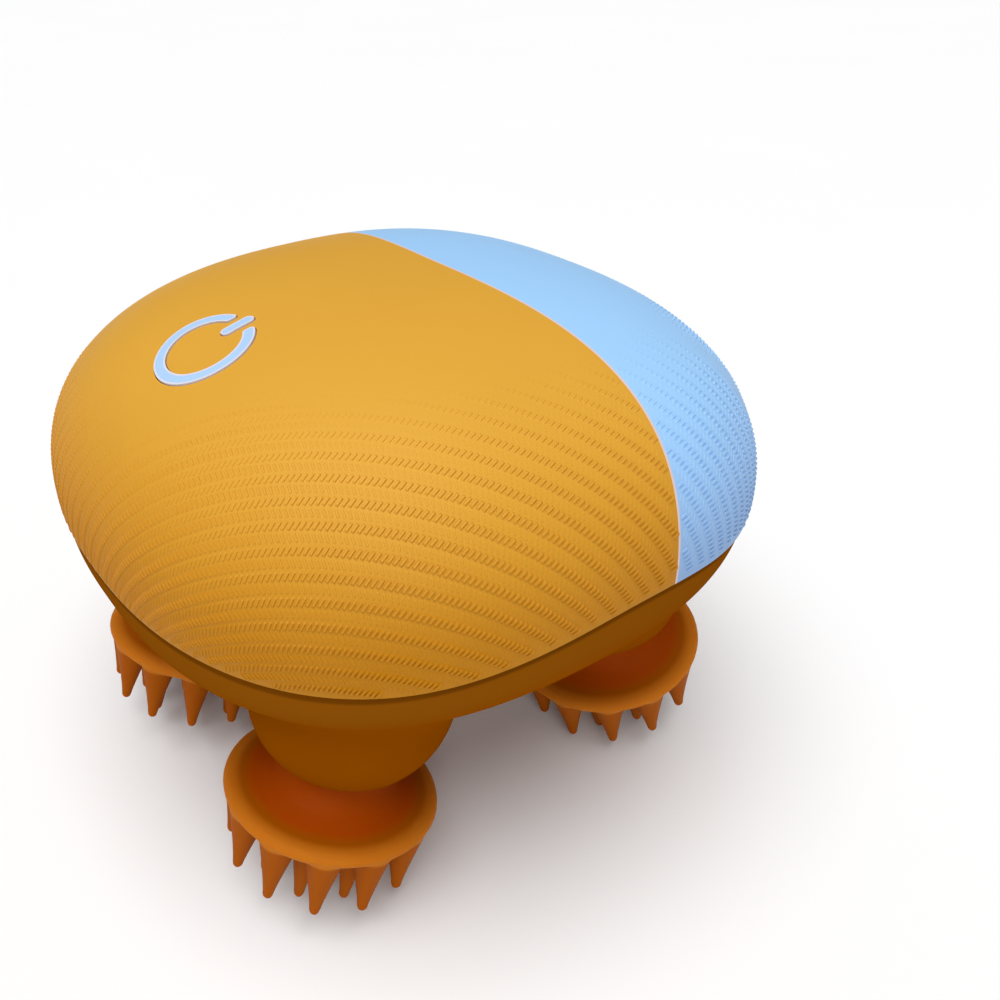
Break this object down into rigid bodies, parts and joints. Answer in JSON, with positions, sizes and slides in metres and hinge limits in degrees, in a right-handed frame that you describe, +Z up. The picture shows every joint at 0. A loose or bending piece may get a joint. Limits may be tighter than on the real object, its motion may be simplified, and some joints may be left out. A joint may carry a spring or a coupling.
{
  "type": "electric scalp massager",
  "caption": "Palm-held domed scalp massager: silicone finger heads on splayed legs turn in opposite directions through gear trains, with a power key and a plugged charging port.",
  "frame": {"origin": "on the surface under the finger tips, below the centre of the housing", "axes": "+Z up; +X from the power-key end to the blue end; +Y across, the longer width of the housing"},
  "size_m": [0.1104, 0.1134, 0.0923],
  "materials": {
    "orange_cover": "satin moulded plastic with a fine raised texture",
    "blue_cover": "satin moulded plastic with a fine raised texture",
    "divider": "pale trim line",
    "key_silicone": "pale blue silicone",
    "shell": "smooth dark orange-brown plastic",
    "head_silicone": "soft orange-brown silicone",
    "inner_plastic": "natural acetal",
    "gear_plastic": "white acetal",
    "steel": "turned steel",
    "motor_can": "plated steel can",
    "bush": "sintered bronze",
    "seal": "black nitrile",
    "board": "green laminate",
    "cell": "shrink sleeve",
    "switch": "black plastic",
    "plug_rubber": "dark brown rubber"
  },
  "bodies": {
    "housing": {"orange_cover": "orange_cover", "blue_cover": "blue_cover", "divider_trim": "divider", "top_shell": "shell", "lower_shell": "shell", "shell_seal": "seal", "leg_bushes": "bush", "shaft_seals": "seal", "shell_screws": "steel", "gearbox_screws": "steel", "battery": "cell", "battery_holder": "inner_plastic", "charge_board": "board", "charge_socket": "steel", "switch_board": "board", "tact_switch": "switch", "left_gearbox_base": "inner_plastic", "left_gearbox_lid": "inner_plastic", "left_idler_pin": "steel", "left_gearhead": "motor_can", "left_motor": "motor_can", "right_gearbox_base": "inner_plastic", "right_gearbox_lid": "inner_plastic", "right_idler_pin": "steel", "right_gearhead": "motor_can", "right_motor": "motor_can"},
    "power_key": {"power_key": "key_silicone"},
    "switch_plunger": {"switch_plunger": "switch"},
    "port_plug": {"port_plug": "plug_rubber"},
    "left_drive": {"left_drive_gear": "gear_plastic", "left_motor_shaft": "steel"},
    "left_idler": {"left_idler_gear": "gear_plastic"},
    "left_front_output": {"left_front_output_gear": "gear_plastic", "left_front_output_shaft": "steel"},
    "left_front_head": {"left_front_claw_head": "head_silicone", "left_front_head_core": "inner_plastic"},
    "left_rear_output": {"left_rear_output_gear": "gear_plastic", "left_rear_output_shaft": "steel"},
    "left_rear_head": {"left_rear_claw_head": "head_silicone", "left_rear_head_core": "inner_plastic"},
    "right_drive": {"right_drive_gear": "gear_plastic", "right_motor_shaft": "steel"},
    "right_idler": {"right_idler_gear": "gear_plastic"},
    "right_front_output": {"right_front_output_gear": "gear_plastic", "right_front_output_shaft": "steel"},
    "right_front_head": {"right_front_claw_head": "head_silicone", "right_front_head_core": "inner_plastic"},
    "right_rear_output": {"right_rear_output_gear": "gear_plastic", "right_rear_output_shaft": "steel"},
    "right_rear_head": {"right_rear_claw_head": "head_silicone", "right_rear_head_core": "inner_plastic"}
  },
  "joints": [
    {"name": "power_key_press", "type": "slide", "parent": "housing", "child": "power_key", "axis": [0.3358, 0, -0.9419], "range_m": [0, 0.0004], "stiffness_N_per_m": 2500},
    {"name": "switch_plunger_press", "type": "slide", "parent": "housing", "child": "switch_plunger", "axis": [0.3358, 0, -0.9419], "range_m": [0, 0.0004]},
    {"name": "port_plug_pull", "type": "slide", "parent": "housing", "child": "port_plug", "axis": [1, 0, 0], "range_m": [0, 0.005]},
    {"name": "left_front_spin", "type": "hinge", "parent": "housing", "child": "left_front_output", "pos_m": [-0.0315, -0.025, 0.01778], "axis": [0.2521, 0, 0.9677], "continuous": true},
    {"name": "left_rear_spin", "type": "hinge", "parent": "housing", "child": "left_rear_output", "pos_m": [-0.0315, 0.025, 0.01778], "axis": [0.2521, 0, 0.9677], "continuous": true},
    {"name": "left_drive_spin", "type": "hinge", "parent": "housing", "child": "left_drive", "pos_m": [-0.0315, -0.0075, 0.01778], "axis": [0.2521, 0, 0.9677], "continuous": true},
    {"name": "left_idler_spin", "type": "hinge", "parent": "housing", "child": "left_idler", "pos_m": [-0.0315, 0.0075, 0.01778], "axis": [0.2521, 0, 0.9677], "continuous": true},
    {"name": "left_front_head_pull", "type": "slide", "parent": "left_front_output", "child": "left_front_head", "axis": [-0.2521, 0, -0.9677], "range_m": [0, 0.01]},
    {"name": "left_rear_head_pull", "type": "slide", "parent": "left_rear_output", "child": "left_rear_head", "axis": [-0.2521, 0, -0.9677], "range_m": [0, 0.01]},
    {"name": "right_front_spin", "type": "hinge", "parent": "housing", "child": "right_front_output", "pos_m": [0.0315, -0.025, 0.01778], "axis": [-0.2521, 0, 0.9677], "continuous": true},
    {"name": "right_rear_spin", "type": "hinge", "parent": "housing", "child": "right_rear_output", "pos_m": [0.0315, 0.025, 0.01778], "axis": [-0.2521, 0, 0.9677], "continuous": true},
    {"name": "right_drive_spin", "type": "hinge", "parent": "housing", "child": "right_drive", "pos_m": [0.0315, 0.0075, 0.01778], "axis": [-0.2521, 0, 0.9677], "continuous": true},
    {"name": "right_idler_spin", "type": "hinge", "parent": "housing", "child": "right_idler", "pos_m": [0.0315, -0.0075, 0.01778], "axis": [-0.2521, 0, 0.9677], "continuous": true},
    {"name": "right_front_head_pull", "type": "slide", "parent": "right_front_output", "child": "right_front_head", "axis": [0.2521, 0, -0.9677], "range_m": [0, 0.01]},
    {"name": "right_rear_head_pull", "type": "slide", "parent": "right_rear_output", "child": "right_rear_head", "axis": [0.2521, 0, -0.9677], "range_m": [0, 0.01]}
  ],
  "couplings": [
    {"joint": "switch_plunger_press", "follows": "power_key_press", "ratio": 1},
    {"joint": "left_drive_spin", "follows": "left_front_spin", "ratio": -1.3333},
    {"joint": "left_idler_spin", "follows": "left_front_spin", "ratio": 1.3333},
    {"joint": "left_rear_spin", "follows": "left_front_spin", "ratio": -1},
    {"joint": "right_drive_spin", "follows": "right_rear_spin", "ratio": -1.3333},
    {"joint": "right_idler_spin", "follows": "right_rear_spin", "ratio": 1.3333},
    {"joint": "right_front_spin", "follows": "right_rear_spin", "ratio": -1}
  ]
}
